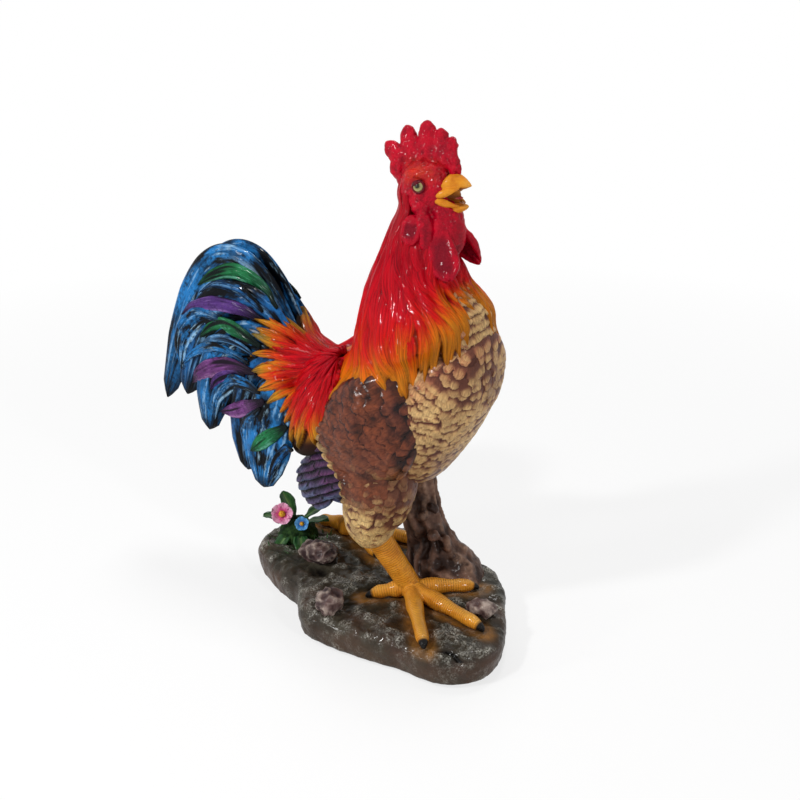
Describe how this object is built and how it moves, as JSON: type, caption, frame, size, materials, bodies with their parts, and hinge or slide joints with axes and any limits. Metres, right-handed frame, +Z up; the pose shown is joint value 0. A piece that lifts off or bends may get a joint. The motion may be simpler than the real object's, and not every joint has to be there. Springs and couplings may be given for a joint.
{
  "type": "rooster figurine",
  "caption": "Painted cast-resin rooster crowing on a rocky base, with a tree stump under its breast and clay flowers.",
  "frame": {"origin": "middle of the base's flat underside", "axes": "+Z up from the underside, +X the way the bird faces, +Y to the bird's left"},
  "size_m": [0.3452, 0.167, 0.401],
  "materials": {
    "ground": "dark earth paint with a pale dry brush, satin",
    "bark": "dark bark paint, satin",
    "rock": "purple-brown stone paint, satin",
    "moss": "dark green paint, satin",
    "leaf": "dark green paint, satin",
    "pink": "pink paint with a magenta throat, satin",
    "blue": "sky-blue paint, satin",
    "pollen": "yellow paint, satin",
    "leg": "ochre-orange paint under varnish",
    "breast": "tan and red-brown paint under varnish",
    "wing": "dark brown and rust paint under varnish",
    "flight": "purple and black paint under varnish",
    "hackle": "red running to yellow at the tips, under varnish",
    "saddle": "red running to yellow at the tips, under varnish",
    "comb": "crimson paint under varnish",
    "beak": "ochre paint under varnish",
    "tongue": "dull red paint under varnish",
    "eye": "pale green iris and black pupil, high gloss",
    "sickle": "blue, green and purple paint over black, under varnish",
    "steel": "bare rod inside the castings"
  },
  "bodies": {
    "root": {"base_casting": "ground", "tree_stump": "bark", "rock_by_flowers": "rock", "rock_at_edge": "rock", "rock_by_toes": "rock", "moss_clump": "moss", "pink_flower_petals": "pink", "pink_flower_centre": "pollen", "blue_flower_petals": "blue", "blue_flower_centre": "pollen", "leaf_1": "leaf", "leaf_2": "leaf", "leaf_3": "leaf", "leaf_4": "leaf", "leaf_5": "leaf", "leaf_6": "leaf", "right_leg_rod": "steel", "right_shank_and_foot": "leg", "right_thigh": "breast", "left_leg_rod": "steel", "left_shank_and_foot": "leg", "left_thigh": "breast", "torso": "breast", "neck_dowel": "steel", "tail_dowel": "steel", "neck_cape": "hackle", "right_wing": "wing", "right_saddle_feathers": "saddle", "right_flight_feathers": "flight", "left_wing": "wing", "left_saddle_feathers": "saddle", "left_flight_feathers": "flight", "head": "comb", "comb": "comb", "upper_beak": "beak", "lower_beak": "beak", "tongue": "tongue", "right_wattle": "comb", "right_ear_lobe": "comb", "right_eye": "eye", "left_wattle": "comb", "left_ear_lobe": "comb", "left_eye": "eye", "tail_core": "saddle", "right_top_sickle": "sickle", "right_main_sickle": "sickle", "right_side_sickle": "sickle", "right_low_sickle": "sickle", "right_under_sickle": "sickle", "left_top_sickle": "sickle", "left_main_sickle": "sickle", "left_side_sickle": "sickle", "left_low_sickle": "sickle", "left_under_sickle": "sickle"}
  },
  "joints": []
}
